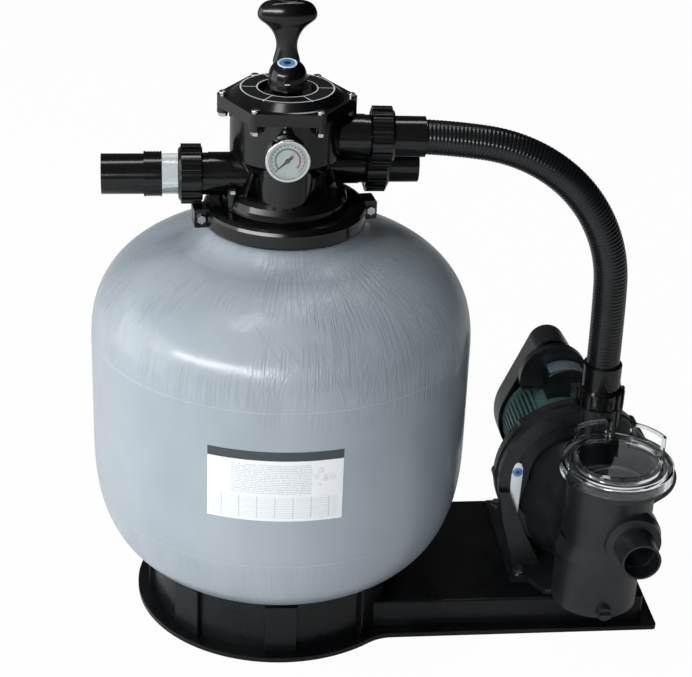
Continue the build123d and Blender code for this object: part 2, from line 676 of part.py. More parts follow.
def make_basket():
    """Leaf basket: tapered, slotted, with a rim and a bail across the top."""
    rim = ledge_level
    basket = turned((0, 70), (42, 70), (50, rim), (55, rim), (55, rim + 4), (48, rim + 4), (40, 72), (0, 72))
    basket = basket - [Rot(0, 0, 36 * i + 18) * Pos(45, 0, 150) * Box(20, 12, 140) for i in range(10)]
    bail = Pos(0, 0, rim - 26.6) * Rot(90, 0, 0) * ring(58.6, 55.6, -3, 3)
    bail = bail & Pos(0, 0, rim + 42) * Box(200, 20, 80)
    return Pos(*bowl_at, 0.3) * (basket + bail)


def make_inlet_tail():
    place = facing(inlet_at[0], inlet_face, inlet_at[1], (0, -1, 0))
    end = inlet_face - inlet_mouth
    tail = turned(
        (22, 0), (39, 0), (39, 3), (33, 4.5), (29, 6), (tail_radius + 0.6, 12), (tail_radius, end), (22, end),
    )
    return place * (tail - disc(pipe_bore, end - 25, end + 1))


def make_drain_plug():
    place = facing(sump_at[0], sump_at[1] - sump_radius, drain_level, (0, -1, 0))
    knob = disc(10, 4.4, 10) + Pos(0, 0, 12) * Box(5, 16, 6)
    return place * (disc(6.1, -7, 5) + knob)


def make_clamp_half(side):
    """Half of the clamp: a hollow rim that grips both flanges, with a lug at each end."""
    low, high = neck_top - neck_lip - 6.2, flange_top + 5.5
    grip_low, grip_high = neck_top - neck_lip - 0.1, flange_top + 0.1
    outer = clamp_rim_radius
    rim = turned(
        (90, low), (outer - 6, low), (outer - 2.2, low + 1.6), (outer, low + 5.5), (outer, high - 8.5),
        (outer - 1.6, high - 4.4), (outer - 4.6, high - 1.4), (outer - 8.5, high), (88.5, high),
        (88.5, grip_high), (neck_lip_radius + 1, grip_high), (neck_lip_radius + 1, grip_low), (90, grip_low),
    )
    lug = fillet(Box(20, 13, 26).edges().filter_by(Axis.Y), 3)
    lugs = [Pos(end * 115, side * 8, 598) * lug for end in (-1, 1)]
    holes = [Pos(end * clamp_bolt_circle, 0, 598) * Rot(90, 0, 0) * Cylinder(3.3, 60) for end in (-1, 1)]
    half = (rim & Pos(0, side * 151.2, 600) * Box(400, 300, 100)) + lugs
    return Rot(0, 0, clamp_turn) * (half - disc(neck_lip_radius + 1, neck_top - neck_lip, flange_top) - holes)


def make_clamp_fasteners():
    bolt = disc(3.1, -17, 21) + Pos(0, 0, -19.5) * extrude(RegularPolygon(6, 6), 5)
    bolt = bolt + Pos(0, 0, 14.6) * extrude(RegularPolygon(6, 6), 5)
    place = [facing(end * clamp_bolt_circle, 0, 598, (0, 1, 0)) for end in (-1, 1)]
    return [Rot(0, 0, clamp_turn) * here * bolt for here in place]


def torus(centre, radius, level):
    return Pos(0, 0, level) * Torus(centre, radius)


union_rings = [port_place(kind) * torus(25.5, 1.5, tail_seat - 1.5) for kind in ("return", "pump", "waste")]
return_pipe = disc(26.9, 174, 244.6) - disc(22, 173, 246) - disc(pipe_bore, 205, 246)
gauge_card = ring(gauge_radius - 4.2, 0.8, gauge_face_at - 1, gauge_face_at - 0.1)
nut_place = Pos(0, 0, nut_start)

pieces = {
    "filter_base": make_base(),
    "tank_shell": make_tank(),
    "tank_label": make_label(),
    "sand_bed": make_sand(),
    "standpipe": ring(pipe_radius, pipe_radius - 3, hub_level + 16, 632),
    "lateral_hub": make_hub(),
    "laterals": make_laterals(),
    "neck_o_ring": torus(89.5, 2.4, neck_top + 2.4),
    "clamp_front": make_clamp_half(-1),
    "clamp_rear": make_clamp_half(1),
    "clamp_fasteners": make_clamp_fasteners(),
    "valve_body": make_valve_body(),
    "valve_lid": make_valve_lid(),
    "lid_o_ring": torus(66.6, 1.35, 754.2),
    "lid_fasteners": make_lid_fasteners(),
    "dial_plate": ring(dial_radius, dial_hole, dial_top - 1, dial_top),
    "handle": make_handle(),
    "handle_pin": Pos(0, 0, pin_level) * Rot(0, 90, 0) * Cylinder(2.45, 2 * handle_radius - 5),
    "handle_collar": ring(20, stem_radius, 765.2, 767.2),
    "valve_spring": make_spring(),
    "diverter_rotor": make_rotor(),
    "spider_gasket": make_spider_gasket(),
    "bleed_screw": make_bleed_screw(),
    "gauge_case": make_gauge_case(),
    "gauge_face": forward(*gauge_centre) * gauge_card,
    "gauge_needle": make_needle(),
    "gauge_lens": forward(*gauge_centre) * disc(gauge_radius - 4.1, gauge_face_at - 5, gauge_face_at - 3.4),
    "return_nut": port_place("return") * nut_place * make_nut(),
    "pump_port_nut": port_place("pump") * nut_place * make_nut(),
    "waste_nut": port_place("waste") * nut_place * make_nut(),
    "union_o_rings": union_rings,
    "sight_glass": make_sight_glass(),
    "sight_glass_collar": make_sight_collar(),
    "return_tail": port_place("return") * return_pipe,
    "pump_port_tail": port_place("pump") * make_tail(184.6, hose_start),
    "waste_tail": port_place("waste") * make_tail(185, 160),
    "hose": make_hose(),
    "hose_cuff": make_cuff(),
    "discharge_nut": Pos(*discharge_at, 315) * make_nut(35.5, 27, 30.4, 27.9, 14),
    "pump_housing": make_pump_housing(),
    "strainer_lid": make_strainer_lid(),
    "strainer_lid_seal": Pos(*lid_at, 0) * torus(64, 1.95, bowl_top + neck_height + 2.05),
    "strainer_basket": make_basket(),
    "inlet_tail": make_inlet_tail(),
    "pump_drain_plug": make_drain_plug(),
    "seal_plate": make_seal_plate(),
    "housing_bolts": make_housing_bolts(),
    "impeller": make_impeller(),
    "shaft_seal": pump_place() * ring(14.1, shaft_radius + 0.06, volute_back + 0.3, plate_back + 6),
    "motor_shaft": make_shaft(),
    "motor_bearings": make_bearings(),
    "motor_rotor": pump_place() * ring(32, 11, 35, 95),
    "motor_stator": pump_place() * ring(motor_radius - 6.2, 33, 32, 98),
    "motor_housing": make_motor_housing(),
    "motor_fan": make_fan(),
    "fan_cover": make_fan_cover(),
    "terminal_box": make_terminal_box(),
    "cable_gland": make_gland(),
    "pump_foot": make_foot(),
    "foot_bolts": make_foot_bolts(),
}

for name, piece in pieces.items():
    save(Part() + piece if isinstance(piece, list) else piece, name)
print("pieces:", len(pieces))
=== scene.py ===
import bpy
import json
from math import cos, pi, radians, sin
from mathutils import Matrix, Vector


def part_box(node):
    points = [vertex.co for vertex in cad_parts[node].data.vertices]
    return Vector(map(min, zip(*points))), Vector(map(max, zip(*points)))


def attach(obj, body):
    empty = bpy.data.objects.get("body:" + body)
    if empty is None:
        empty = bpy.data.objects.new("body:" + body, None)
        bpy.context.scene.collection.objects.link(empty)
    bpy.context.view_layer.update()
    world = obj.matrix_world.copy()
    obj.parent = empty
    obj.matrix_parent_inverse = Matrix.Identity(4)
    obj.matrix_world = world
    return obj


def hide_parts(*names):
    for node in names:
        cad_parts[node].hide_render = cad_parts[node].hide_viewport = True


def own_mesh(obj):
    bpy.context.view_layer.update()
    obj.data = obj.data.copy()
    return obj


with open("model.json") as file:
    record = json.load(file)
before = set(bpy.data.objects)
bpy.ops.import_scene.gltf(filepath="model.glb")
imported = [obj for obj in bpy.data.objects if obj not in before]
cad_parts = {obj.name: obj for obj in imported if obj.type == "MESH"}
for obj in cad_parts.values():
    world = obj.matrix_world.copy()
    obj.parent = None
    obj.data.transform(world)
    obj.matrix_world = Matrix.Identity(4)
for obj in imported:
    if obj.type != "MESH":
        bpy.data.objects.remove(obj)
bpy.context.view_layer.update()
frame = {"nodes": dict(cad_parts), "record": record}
nodes = frame["nodes"]
mm = 0.001
tankLow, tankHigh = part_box("tank_shell")
tankX = (tankLow[0] + tankHigh[0]) / 2      # the tank's own axis
pumpX, pumpZ = tankX + 428 * mm, 197.5 * mm     # the pump's axis, which runs along Y
print("frame loaded:", len(nodes), "nodes")

cameraView = {
    "place": (tankX - 0.1805, -2.2429, 1.5248), "yaw": -6.896, "pitch": 26.409, "roll": 2.362,
    "lens": 93.39, "sensor": 36, "clip": (0.05, 50),
}


def addCamera(view):
    yaw, pitch, roll = (radians(view[name]) for name in ("yaw", "pitch", "roll"))
    ahead = Vector((-sin(yaw) * cos(pitch), cos(yaw) * cos(pitch), -sin(pitch)))
    level = Vector((cos(yaw), sin(yaw), 0))
    above = level.cross(ahead)
    right = cos(roll) * level + sin(roll) * above
    up = cos(roll) * above - sin(roll) * level
    data = bpy.data.cameras.new("studioCamera")
    data.lens, data.sensor_width, data.sensor_fit = view["lens"], view["sensor"], "HORIZONTAL"
    data.clip_start, data.clip_end = view["clip"]
    camera = bpy.data.objects.new("studioCamera", data)
    bpy.context.scene.collection.objects.link(camera)
    camera.matrix_world = Matrix.Translation(view["place"]) @ Matrix((right, up, -ahead)).transposed().to_4x4()
    bpy.context.scene.camera = camera


addCamera(cameraView)


def linearColor(code):  # an sRGB hex value as the linear colour that a shader takes
    parts = [int(code[i:i + 2], 16) / 255 for i in (0, 2, 4)]
    return [part / 12.92 if part <= 0.04045 else ((part + 0.055) / 1.055) ** 2.4 for part in parts] + [1]


def addNode(tree, kind, *values, out=0, **settings):  # values go to the inputs in order, or by name from a dictionary
    node = tree.nodes.new("ShaderNode" + kind)
    for name, value in settings.items():
        setattr(node, name, value)
    inputs = values[0] if values and isinstance(values[0], dict) else dict(enumerate(values))
    for name, value in inputs.items():
        if isinstance(value, bpy.types.NodeSocket):
            tree.links.new(value, node.inputs[name])
        else:
            node.inputs[name].default_value = linearColor(value) if isinstance(value, str) else value
    return node.outputs[out]


def newMaterial(name, **fixed):
    material = bpy.data.materials.new(name)
    material.use_nodes = True
    shader = material.node_tree.nodes["Principled BSDF"]
    for socket, value in fixed.items():
        shader.inputs[socket.replace("_", " ")].default_value = value
    return material, material.node_tree, shader


def finishSurface(tree, shader, colour, roughness=None, height=None, strength=0.2, depth=0.3):
    tree.links.new(colour, shader.inputs["Base Color"])
    if roughness is not None:
        tree.links.new(roughness, shader.inputs["Roughness"])
    if height is not None:  # depth is the relief in millimetres
        relief = addNode(tree, "Bump", {"Height": height, "Strength": strength, "Distance": depth * mm})
        tree.links.new(relief, shader.inputs["Normal"])


cloudEdge = (0.3, 0.7)      # the noise values at which a cloud is all dark and all light
glossSwing = 0.12       # how far a plain surface's gloss goes up and down with its clouds
fineDepth = 0.1     # the depth of a plain surface's grain in millimetres


def plainSurface(name, dark, light, gloss, grain, relief, clouds=40, metallic=0.0, specular=0.5):
    # cloudy colour and gloss, and a fine relief, with the clouds and the grain in millimetres
    material, tree, shader = newMaterial(name, Metallic=metallic, Specular_IOR_Level=specular)
    place = addNode(tree, "TexCoord", out="Object")
    cloud = addNode(tree, "TexNoise", {"Vector": place, "Scale": 1000 / clouds, "Detail": 4.0})
    fine = addNode(tree, "TexNoise", {"Vector": place, "Scale": 1000 / grain, "Detail": 2.0})
    share = addNode(tree, "MapRange", cloud, *cloudEdge)
    colour = addNode(tree, "Mix", {0: share, 6: dark, 7: light}, data_type="RGBA", out=2)
    roughness = addNode(tree, "MapRange", cloud, *cloudEdge, gloss * (1 - glossSwing), gloss * (1 + glossSwing))
    finishSurface(tree, shader, colour, roughness, fine, relief, fineDepth)
    return material


def roundAxis(tree, x):  # distance from a standing axis in metres, angle round it, and height
    centred = addNode(tree, "Mapping", {"Vector": addNode(tree, "TexCoord", out="Object"), "Location": (-x, 0, 0)})
    parts = addNode(tree, "SeparateXYZ", centred).node.outputs
    flat = addNode(tree, "CombineXYZ", parts[0], parts[1], 0.0)
    radius = addNode(tree, "VectorMath", flat, operation="LENGTH", out="Value")
    return radius, addNode(tree, "Math", parts[1], parts[0], operation="ARCTAN2"), parts[2]


# Glass fibre wound with grey resin: smooth and half glossy, with bundles of fibre that stand out as
# fine strokes, most of them running out from the neck and down over the shoulder.
tankFinish = {
    "dark": "9aa5ad", "light": "a6b0b8", "cloudScale": (8.3, 8.3, 6.0),
    "gloss": 0.2, "glossSwing": 0.05, "strokeGloss": 0.08, "relief": 0.5, "depth": 0.55,
    # turn of the strokes in radians a metre, offset, share of the surface, strength
    "strokes": ((0.4, 1.0, 0.5, 1.0), (5.0, 4.0, 0.6, 0.7), (-5.0, 8.0, 0.62, 0.6)),
    "stroke": "7c8790", "strokeInk": 0.3,
    # scales round the tank and down it: of the single strokes, and of the patches that they stand in
    "lineScale": (60.0, 9.0), "lineEdge": (0.45, 0.62), "patchScale": (3.2, 9.0), "patchEdge": (-0.06, 0.1),
    # the side with the most strokes, in degrees, and how far from it in radians they thin out
    "mainTurn": -65.0, "mainReach": (0.25, 0.9), "mainGain": 0.13,
    # heights in metres between which the strokes fade, on the shoulder and near the base
    "shoulderFade": (0.385, 0.425), "baseFade": (0.17, 0.22), "baseShare": 0.4,
    "seam": "b9c2c9", "seamInk": 0.35, "seamHeights": (0.428, 0.195), "seamEdge": (0.0002, 0.0016),
}


def woundGlassFibre(finish):
    material, tree, shader = newMaterial("woundGlassFibre")
    radius, angle, height = roundAxis(tree, tankX)
    down = addNode(tree, "Math", radius, height, operation="SUBTRACT")      # grows from the neck to the base
    away = addNode(tree, "Math", angle, -radians(finish["mainTurn"]), operation="ADD")
    away = addNode(tree, "Math", away, operation="ABSOLUTE")
    favoured = addNode(tree, "MapRange", away, *finish["mainReach"], finish["mainGain"], 0.0,
                       interpolation_type="SMOOTHSTEP")
    strokes = 0.0
    for lean, seed, share, strength in finish["strokes"]:
        turned = addNode(tree, "Math", radius, lean, angle, operation="MULTIPLY_ADD")
        layers = []
        for (roundScale, downScale), offset in ((finish["lineScale"], seed), (finish["patchScale"], seed + 20)):
            across = addNode(tree, "Math", turned, roundScale, operation="MULTIPLY")
            along = addNode(tree, "Math", down, downScale, operation="MULTIPLY")
            layers.append(addNode(tree, "CombineXYZ", across, along, offset))
        lines = addNode(tree, "TexNoise", {"Vector": layers[0], "Scale": 1.0, "Detail": 3.0, "Roughness": 0.6})
        lines = addNode(tree, "MapRange", lines, *finish["lineEdge"], interpolation_type="SMOOTHSTEP")
        patch = addNode(tree, "TexNoise", {"Vector": layers[1], "Scale": 1.0, "Detail": 2.0})
        patch = addNode(tree, "Math", patch, favoured, operation="ADD")
        low, high = (share + edge for edge in finish["patchEdge"])
        patch = addNode(tree, "MapRange", patch, low, high, 0.0, strength, interpolation_type="SMOOTHSTEP")
        lines = addNode(tree, "Math", lines, patch, operation="MULTIPLY")
        strokes = addNode(tree, "Math", strokes, lines, operation="MAXIMUM")
    upper = addNode(tree, "MapRange", height, *finish["shoulderFade"], 0.0, 1.0, interpolation_type="SMOOTHSTEP")
    lower = addNode(tree, "MapRange", height, *finish["baseFade"], finish["baseShare"], 0.0,
                    interpolation_type="SMOOTHSTEP")
    fade = addNode(tree, "Math", upper, lower, operation="MAXIMUM")
    strokes = addNode(tree, "Math", strokes, fade, operation="MULTIPLY")
    seams = 0.0
    for level in finish["seamHeights"]:
        off = addNode(tree, "Math", height, level, operation="SUBTRACT")
        off = addNode(tree, "Math", off, operation="ABSOLUTE")
        seam = addNode(tree, "MapRange", off, *finish["seamEdge"], 1.0, 0.0, interpolation_type="SMOOTHSTEP")
        seams = addNode(tree, "Math", seams, seam, operation="MAXIMUM")
    place = addNode(tree, "TexCoord", out="Object")
    place = addNode(tree, "Mapping", {"Vector": place, "Scale": finish["cloudScale"]})
    cloud = addNode(tree, "TexNoise", {"Vector": place, "Scale": 1.0, "Detail": 4.0})
    share = addNode(tree, "MapRange", cloud, *cloudEdge)
    colour = addNode(tree, "Mix", {0: share, 6: finish["dark"], 7: finish["light"]}, data_type="RGBA", out=2)
    for marks, name in ((strokes, "stroke"), (seams, "seam")):
        share = addNode(tree, "Math", marks, finish[name + "Ink"], operation="MULTIPLY")
        colour = addNode(tree, "Mix", {0: share, 6: colour, 7: finish[name]}, data_type="RGBA", out=2)
    low, high = (finish["gloss"] * (1 + swing) for swing in (-finish["glossSwing"], finish["glossSwing"]))
    gloss = addNode(tree, "MapRange", cloud, *cloudEdge, low, high)
    gloss = addNode(tree, "Math", strokes, finish["strokeGloss"], gloss, operation="MULTIPLY_ADD")
    relief = addNode(tree, "Math", strokes, seams, operation="MAXIMUM")
    relief = addNode(tree, "Math", relief, -1.0, operation="MULTIPLY")
    finishSurface(tree, shader, colour, gloss, relief, finish["relief"], finish["depth"])
    return material


# Film printed in grey on white: a dark head band, fine rules that stand for text, and a ruled table.
# Sizes are in millimetres, and places are counted from the middle of the sheet.
labelPrint = {
    "paper": "f1f4f8", "band": "3d4449", "text": "c9d0d6", "ruling": "a4adb5", "patch": "8d979f",
    "gloss": 0.38, "turn": -95.5, "middle": 321.0, "radius": 264.0, "bandLow": 38.5,
    "textBox": (-58, 48, -12, 33), "tableBox": (-82, 83, -47, -15),
    "rowPitch": 2.6, "rowShare": 0.45, "wordScale": 0.35, "wordEdge": (0.4, 0.46), "figureInk": 0.4,
    "columns": (23.6, 0.04, 0.75), "lines": (3.6, 0.13, 0.45),      # pitch, share that is ruled, ink
    "patches": ((60, 24, 5), (54, 16, 4.5), (66, 12, 6), (76, 13, 4.5), (60, 3, 3.5)),
    "patchEdge": (0.2, 1.3), "grainScale": 0.35, "grainEdge": (0.42, 0.6), "grainInk": 0.55,
}


def printedFilm(facts):
    material, tree, shader = newMaterial("printedFilm", Roughness=facts["gloss"])
    angle, height = roundAxis(tree, tankX)[1:]
    across = addNode(tree, "Math", angle, -radians(facts["turn"]), operation="ADD")
    across = addNode(tree, "Math", across, facts["radius"], operation="MULTIPLY")
    up = addNode(tree, "Math", height, 1000.0, -facts["middle"], operation="MULTIPLY_ADD")
    boxes = {}
    for name in ("textBox", "tableBox"):
        left, right, low, high = facts[name]
        inside = 1.0
        for value, lowest, highest in ((across, left, right), (up, low, high)):
            within = addNode(tree, "Math", value, (lowest + highest) / 2, (highest - lowest) / 2, operation="COMPARE")
            inside = addNode(tree, "Math", inside, within, operation="MULTIPLY")
        boxes[name] = inside
    rows = addNode(tree, "Math", up, 1 / facts["rowPitch"], operation="MULTIPLY")
    rule = addNode(tree, "Math", rows, operation="FRACT")
    rule = addNode(tree, "Math", rule, facts["rowShare"], operation="LESS_THAN")
    row = addNode(tree, "Math", rows, operation="FLOOR")
    words = addNode(tree, "Math", across, facts["wordScale"], operation="MULTIPLY")
    words = addNode(tree, "CombineXYZ", words, row, 0.0)
    words = addNode(tree, "TexNoise", {"Vector": words, "Scale": 1.0, "Detail": 1.0})
    words = addNode(tree, "MapRange", words, *facts["wordEdge"])
    words = addNode(tree, "Math", rule, words, operation="MULTIPLY")
    text = addNode(tree, "Math", words, boxes["textBox"], operation="MULTIPLY")
    colour = addNode(tree, "Mix", {0: text, 6: facts["paper"], 7: facts["text"]}, data_type="RGBA", out=2)
    for value, (pitch, width, ink) in ((across, facts["columns"]), (up, facts["lines"])):
        line = addNode(tree, "Math", value, 1 / pitch, operation="MULTIPLY")
        line = addNode(tree, "Math", line, operation="FRACT")
        line = addNode(tree, "Math", line, width, operation="LESS_THAN")
        line = addNode(tree, "Math", line, boxes["tableBox"], operation="MULTIPLY")
        line = addNode(tree, "Math", line, ink, operation="MULTIPLY")
        colour = addNode(tree, "Mix", {0: line, 6: colour, 7: facts["ruling"]}, data_type="RGBA", out=2)
    figures = addNode(tree, "Math", words, boxes["tableBox"], operation="MULTIPLY")
    figures = addNode(tree, "Math", figures, facts["figureInk"], operation="MULTIPLY")
    colour = addNode(tree, "Mix", {0: figures, 6: colour, 7: facts["text"]}, data_type="RGBA", out=2)
    where = addNode(tree, "CombineXYZ", across, up, 0.0)
    grain = addNode(tree, "TexNoise", {"Vector": where, "Scale": facts["grainScale"], "Detail": 2.0})
    grain = addNode(tree, "MapRange", grain, *facts["grainEdge"], 0.0, facts["grainInk"])
    for x, y, size in facts["patches"]:  # small soft grey patches where a leaflet has its drawings
        near = addNode(tree, "VectorMath", where, (x, y, 0), operation="DISTANCE", out="Value")
        inner, outer = (size * edge for edge in facts["patchEdge"])
        near = addNode(tree, "MapRange", near, inner, outer, 1.0, 0.0, interpolation_type="SMOOTHSTEP")
        near = addNode(tree, "Math", near, grain, operation="MULTIPLY")
        colour = addNode(tree, "Mix", {0: near, 6: colour, 7: facts["patch"]}, data_type="RGBA", out=2)
    head = addNode(tree, "Math", up, facts["bandLow"], operation="GREATER_THAN")
    colour = addNode(tree, "Mix", {0: head, 6: colour, 7: facts["band"]}, data_type="RGBA", out=2)
    finishSurface(tree, shader, colour)
    return material


# Dial printed white on satin black: two rings and six dividing lines, with sizes in metres.
dialPrint = {
    "ground": "101214", "worn": "1c1f22", "ink": "f2f4f6", "rings": ((0.0606, 0.0624), (0.0392, 0.0408)),
    "sectors": 6, "turn": -3.3, "lineHalf": 0.00068, "gloss": 0.3,
    "wearScale": 260.0, "wearEdge": (0.5, 0.7),      # worn marks about 4 mm apart
}


def printedDial(facts):
    material, tree, shader = newMaterial("printedDial", Roughness=facts["gloss"])
    radius, angle = roundAxis(tree, tankX)[:2]
    density = facts["sectors"] / (2 * pi)
    start = facts["sectors"] + 0.5 - radians(facts["turn"]) * density
    sector = addNode(tree, "Math", angle, density, start, operation="MULTIPLY_ADD")
    off = addNode(tree, "Math", sector, operation="FRACT")
    off = addNode(tree, "Math", off, 0.5, operation="SUBTRACT")
    off = addNode(tree, "Math", off, operation="ABSOLUTE")
    off = addNode(tree, "Math", off, radius, operation="MULTIPLY")
    ink = addNode(tree, "Math", off, facts["lineHalf"], operation="LESS_THAN")
    for low, high in facts["rings"]:
        ring = addNode(tree, "Math", radius, (low + high) / 2, (high - low) / 2, operation="COMPARE")
        ink = addNode(tree, "Math", ink, ring, operation="MAXIMUM")
    place = addNode(tree, "TexCoord", out="Object")
    raised = addNode(tree, "TexNoise", {"Vector": place, "Scale": facts["wearScale"], "Detail": 1.0})
    worn = addNode(tree, "MapRange", raised, *facts["wearEdge"])
    ground = addNode(tree, "Mix", {0: worn, 6: facts["ground"], 7: facts["worn"]}, data_type="RGBA", out=2)
    colour = addNode(tree, "Mix", {0: ink, 6: ground, 7: facts["ink"]}, data_type="RGBA", out=2)
    finishSurface(tree, shader, colour, None, raised)
    return material


# Gauge face: white enamel with a fine scale, a green arc on the left and a red one on the right.
gaugePrint = {
    "face": "e9edeb", "cloud": "f4f6f4", "cloudScale": 90.0, "x": tankX - 5.5 * mm, "z": 0.708,
    # inner and outer radius in millimetres, first and last angle from the top in degrees, colour
    "arcs": ((14.5, 17, -130, 20, "5a9c95"), (14.5, 17, 20, 130, "c0685f"), (21.4, 22, -136, 136, "3a4045")),
    "ticks": (18.6, 21.8, -136, 136, "2a2f33"), "tickStep": 13.5, "tickStart": 20.5, "tickHalf": 0.08, "gloss": 0.3,
}


def printedGauge(facts):
    material, tree, shader = newMaterial("printedGauge", Roughness=facts["gloss"])
    parts = addNode(tree, "SeparateXYZ", addNode(tree, "TexCoord", out="Object")).node.outputs
    right = addNode(tree, "Math", parts[0], facts["x"], operation="SUBTRACT")
    up = addNode(tree, "Math", parts[2], facts["z"], operation="SUBTRACT")
    flat = addNode(tree, "CombineXYZ", right, up, 0.0)
    radius = addNode(tree, "VectorMath", flat, operation="LENGTH", out="Value")
    radius = addNode(tree, "Math", radius, 1000.0, operation="MULTIPLY")
    angle = addNode(tree, "Math", right, up, operation="ARCTAN2")
    angle = addNode(tree, "Math", angle, 180 / pi, operation="MULTIPLY")
    tick = addNode(tree, "Math", angle, 1 / facts["tickStep"], facts["tickStart"], operation="MULTIPLY_ADD")
    tick = addNode(tree, "Math", tick, operation="FRACT")
    tick = addNode(tree, "Math", tick, 0.5, facts["tickHalf"], operation="COMPARE")
    cloud = addNode(tree, "TexNoise", {"Vector": flat, "Scale": facts["cloudScale"], "Detail": 2.0})
    colour = addNode(tree, "Mix", {0: cloud, 6: facts["face"], 7: facts["cloud"]}, data_type="RGBA", out=2)
    for arc in (*facts["arcs"], facts["ticks"]):
        inner, outer, first, last, shade = arc
        share = tick if arc is facts["ticks"] else 1.0
        for value, low, high in ((radius, inner, outer), (angle, first, last)):
            within = addNode(tree, "Math", value, (low + high) / 2, (high - low) / 2, operation="COMPARE")
            share = addNode(tree, "Math", share, within, operation="MULTIPLY")
        colour = addNode(tree, "Mix", {0: share, 6: colour, 7: shade}, data_type="RGBA", out=2)
    finishSurface(tree, shader, colour)
    return material


# Clear polycarbonate, injection moulded: bright, sharp reflections, and a very slight grey tint.
clearFinish = {
    "dark": "d3d9db", "light": "e4e8e9", "gloss": 0.03, "refraction": 1.5,
    "flowScale": 30.0, "relief": 0.05, "depth": 0.5,
}


def clearPolycarbonate(facts):
    material, tree, shader = newMaterial(
        "clearPolycarbonate", Transmission_Weight=1.0, IOR=facts["refraction"], Roughness=facts["gloss"])
    place = addNode(tree, "TexCoord", out="Object")
    flow = addNode(tree, "TexNoise", {"Vector": place, "Scale": facts["flowScale"], "Detail": 2.0})
    colour = addNode(tree, "Mix", {0: flow, 6: facts["dark"], 7: facts["light"]}, data_type="RGBA", out=2)
    finishSurface(tree, shader, colour, None, flow, facts["relief"], facts["depth"])
    return material


# Badges printed in blue on white under a clear dome of resin: a round spot with a pale ring round it, and lighter
# blue clouds on the field that are a painted sheen of the dome.
badgePrint = {
    # the field's lighter blue clouds are a painted sheen, with their size set by cloudScale
    "middle": "16406f", "field": "2f6fae", "fieldPaintedSheen": "6fb0dd", "edge": "e8eef3", "side": "0e0f11",
    "middleEdge": (0.4, 0.48), "fieldEdge": (0.95, 1.0), "cloudScale": 120.0, "relief": 0.03, "depth": 0.2,
    "gloss": 0.12, "coat": 0.6, "coatGloss": 0.04,
}


def domedBadge(name, middle, spot, top, facing, narrow=1.0):
    # spot is the blue's radius, and top is how far along the facing direction the printed face begins
    material, tree, shader = newMaterial(
        name, Roughness=badgePrint["gloss"], Coat_Weight=badgePrint["coat"], Coat_Roughness=badgePrint["coatGloss"])
    place = addNode(tree, "TexCoord", out="Object")
    near = addNode(tree, "VectorMath", place, middle, operation="SUBTRACT")
    near = addNode(tree, "VectorMath", near, (narrow, 1, 1), operation="MULTIPLY")
    near = addNode(tree, "VectorMath", near, operation="LENGTH", out="Value")
    near = addNode(tree, "Math", near, 1 / spot, operation="MULTIPLY")
    cloud = addNode(tree, "TexNoise", {"Vector": place, "Scale": badgePrint["cloudScale"], "Detail": 1.0})
    # painted sheen: lighter blue clouds mixed into the printed blue field
    blue = addNode(tree, "Mix", {0: cloud, 6: badgePrint["field"], 7: badgePrint["fieldPaintedSheen"]},
                   data_type="RGBA", out=2)
    ring = addNode(tree, "MapRange", near, *badgePrint["middleEdge"])
    colour = addNode(tree, "Mix", {0: ring, 6: badgePrint["middle"], 7: blue}, data_type="RGBA", out=2)
    ring = addNode(tree, "MapRange", near, *badgePrint["fieldEdge"])
    colour = addNode(tree, "Mix", {0: ring, 6: colour, 7: badgePrint["edge"]}, data_type="RGBA", out=2)
    height = addNode(tree, "VectorMath", place, facing, operation="DOT_PRODUCT", out="Value")
    side = addNode(tree, "Math", height, top, operation="LESS_THAN")
    colour = addNode(tree, "Mix", {0: side, 6: colour, 7: badgePrint["side"]}, data_type="RGBA", out=2)
    finishSurface(tree, shader, colour, None, cloud, badgePrint["relief"], badgePrint["depth"])
    return material


slotFinishes = {
    "tank_grp": woundGlassFibre(tankFinish),
    "label": printedFilm(labelPrint),
    # moulded with a leathery grain
    "base_plastic": plainSurface("grainedPolyethylene", "08090b", "0e1012", 0.3, 1.2, 0.2, specular=0.32),
    # injection moulded in a polished tool, deep black
    "valve_plastic": plainSurface("mouldedGlossAbs", "060708", "0b0c0e", 0.15, 0.8, 0.04, specular=0.42),
    "dial": printedDial(dialPrint),
    "clear_plastic": clearPolycarbonate(clearFinish),
    # mirror plate on brass
    "gauge_metal": plainSurface("polishedChrome", "c9cbcc", "d6d8d9", 0.12, 2.0, 0.02, metallic=1.0),
    "gauge_white": printedGauge(gaugePrint),
    # stoved paint, half glossy
    "needle_black": plainSurface("blackEnamel", "101112", "16181a", 0.3, 0.5, 0.03),
    # extruded with a soft gloss
    "hose_plastic": plainSurface("extrudedPvc", "0c0e10", "131518", 0.24, 0.7, 0.06, specular=0.45),
    # moulded, satin, with faint flow marks
    "pump_plastic": plainSurface("glassFilledPolypropylene", "16181b", "212427", 0.3, 0.9, 0.1, specular=0.45),
    # moulded, matt
    "impeller_plastic": plainSurface("glassFilledNylon", "141516", "1c1d1f", 0.5, 0.7, 0.2),
    # moulded in plain grey, half matt
    "basket_plastic": plainSurface("mouldedPolypropylene", "55595c", "6a6f73", 0.45, 0.9, 0.1),
    # extruded pressure pipe, off-white
    "pipe_plastic": plainSurface("extrudedUpvc", "d6d6d1", "e2e2de", 0.35, 0.8, 0.08),
    # loose washed grains
    "sand": plainSurface("silicaSand", "b9a684", "d2c2a2", 0.9, 1.0, 1.0, 3),
    # moulded rings, dull
    "seal_rubber": plainSurface("mouldedNitrileRubber", "0d0d0e", "141415", 0.65, 0.6, 0.15),
    # ground and lapped flat
    "seal_ceramic": plainSurface("lappedAlumina", "d3cdbf", "ddd8cb", 0.25, 0.5, 0.03),
    # bright, as rolled and drawn
    "fastener_steel": plainSurface("rolledStainlessSteel", "b4b6b8", "c6c8ca", 0.25, 0.6, 0.08, metallic=1.0),
    # teal enamel over a sand casting
    "motor_paint": plainSurface("paintedCastAluminium", "446765", "557a78", 0.32, 1.4, 0.25),
    # turned and ground
    "motor_steel": plainSurface("turnedSteel", "8c8e90", "a2a4a6", 0.35, 0.5, 0.1, metallic=1.0),
}
